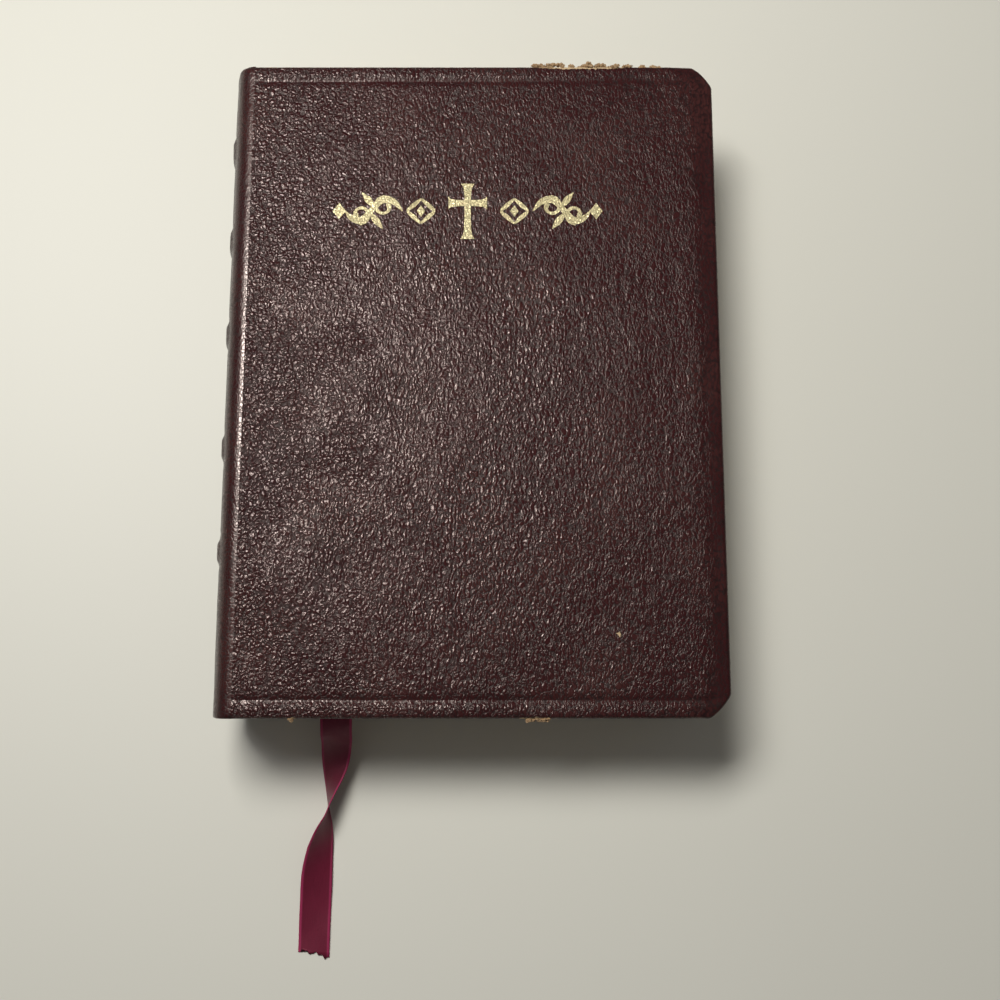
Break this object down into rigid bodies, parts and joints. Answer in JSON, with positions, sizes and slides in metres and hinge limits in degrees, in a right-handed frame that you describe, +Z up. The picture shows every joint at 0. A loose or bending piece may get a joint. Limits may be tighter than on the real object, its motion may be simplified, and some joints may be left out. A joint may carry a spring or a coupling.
{
  "type": "leather-bound bible",
  "caption": "Compact burgundy leather-bound bible lying closed, with raised spine bands, rounded corners, gold foil ornament and a ribbon marker.",
  "frame": {"origin": "centre of the book's footprint on the table, ribbon's free end left out", "axes": "+X from the spine to the fore edge, +Y from the tail to the head, +Z up out of the front cover"},
  "size_m": [0.1108, 0.1986, 0.0281],
  "materials": {
    "leather": "semi-gloss pebbled burgundy leather, worn at the edges",
    "board": "matt grey-brown card",
    "endpaper": "matt cream paper",
    "leaves": "thin paper, gilt on its trimmed edges",
    "gauze": "open-weave cotton gauze",
    "lining": "brown kraft paper",
    "thread": "waxed cotton thread",
    "headband": "striped cotton worked over a cord",
    "ribbon": "crimson satin with firm selvedges",
    "foil": "gold foil stamping, slightly rubbed"
  },
  "bodies": {
    "back_cover": {"back_cover_leather": "leather", "back_cover_board": "board", "back_pastedown": "endpaper", "back_joint_leather": "leather"},
    "back_flyleaf": {"back_flyleaf": "endpaper"},
    "last_leaves": {"leaf_section_24": "leaves"},
    "text_block": {"leaf_section_04": "leaves", "leaf_section_05": "leaves", "leaf_section_06": "leaves", "leaf_section_07": "leaves", "leaf_section_08": "leaves", "leaf_section_09": "leaves", "leaf_section_10": "leaves", "leaf_section_11": "leaves", "leaf_section_12": "leaves", "leaf_section_13": "leaves", "leaf_section_14": "leaves", "leaf_section_15": "leaves", "leaf_section_16": "leaves", "leaf_section_17": "leaves", "leaf_section_18": "leaves", "leaf_section_19": "leaves", "leaf_section_20": "leaves", "leaf_section_21": "leaves", "leaf_section_22": "leaves", "leaf_section_23": "leaves", "sewing_thread_1": "thread", "sewing_thread_2": "thread", "sewing_thread_3": "thread", "sewing_thread_4": "thread", "spine_gauze": "gauze", "spine_lining": "lining", "spine_stiffener": "board", "spine_leather": "leather", "headband": "headband", "tailband": "headband", "ribbon_marker": "ribbon", "ribbon_tail": "ribbon", "front_joint_leather": "leather", "raised_band_1": "board", "raised_band_2": "board", "raised_band_3": "board", "raised_band_4": "board", "raised_band_5": "board"},
    "front_cover": {"front_cover_leather": "leather", "front_cover_board": "board", "front_pastedown": "endpaper", "foil_cross": "foil", "foil_lozenge_left": "foil", "foil_lozenge_right": "foil", "foil_rule_left": "foil", "foil_rule_right": "foil", "foil_dot_left": "foil", "foil_dot_right": "foil"},
    "front_flyleaf": {"front_flyleaf": "endpaper"},
    "first_leaves": {"leaf_section_01": "leaves"},
    "second_leaves": {"leaf_section_02": "leaves"},
    "third_leaves": {"leaf_section_03": "leaves"}
  },
  "joints": [
    {"name": "back_cover_hinge", "type": "hinge", "parent": "back_cover", "child": "text_block", "pos_m": [-0.0508, 0, 0.0018], "axis": [0, -1, 0], "range_deg": [0, 180]},
    {"name": "back_flyleaf_turn", "type": "hinge", "parent": "back_cover", "child": "back_flyleaf", "pos_m": [-0.0508, 0, 0.0018], "axis": [0, -1, 0], "range_deg": [0, 180]},
    {"name": "last_leaves_turn", "type": "hinge", "parent": "back_cover", "child": "last_leaves", "pos_m": [-0.0508, 0, 0.0018], "axis": [0, -1, 0], "range_deg": [0, 180]},
    {"name": "front_cover_hinge", "type": "hinge", "parent": "text_block", "child": "front_cover", "pos_m": [-0.0508, 0, 0.0262], "axis": [0, -1, 0], "range_deg": [0, 180]},
    {"name": "front_flyleaf_turn", "type": "hinge", "parent": "text_block", "child": "front_flyleaf", "pos_m": [-0.0508, 0, 0.0262], "axis": [0, -1, 0], "range_deg": [0, 180]},
    {"name": "first_leaves_turn", "type": "hinge", "parent": "text_block", "child": "first_leaves", "pos_m": [-0.0508, 0, 0.0262], "axis": [0, -1, 0], "range_deg": [0, 180]},
    {"name": "second_leaves_turn", "type": "hinge", "parent": "text_block", "child": "second_leaves", "pos_m": [-0.0508, 0, 0.0262], "axis": [0, -1, 0], "range_deg": [0, 180]},
    {"name": "third_leaves_turn", "type": "hinge", "parent": "text_block", "child": "third_leaves", "pos_m": [-0.0508, 0, 0.0262], "axis": [0, -1, 0], "range_deg": [0, 180]}
  ],
  "couplings": [
    {"joint": "front_flyleaf_turn", "follows": "front_cover_hinge", "ratio": 0.94},
    {"joint": "first_leaves_turn", "follows": "front_cover_hinge", "ratio": 0.82},
    {"joint": "second_leaves_turn", "follows": "front_cover_hinge", "ratio": 0.66},
    {"joint": "third_leaves_turn", "follows": "front_cover_hinge", "ratio": 0.46},
    {"joint": "back_flyleaf_turn", "follows": "back_cover_hinge", "ratio": 0.08},
    {"joint": "last_leaves_turn", "follows": "back_cover_hinge", "ratio": 0.22}
  ]
}
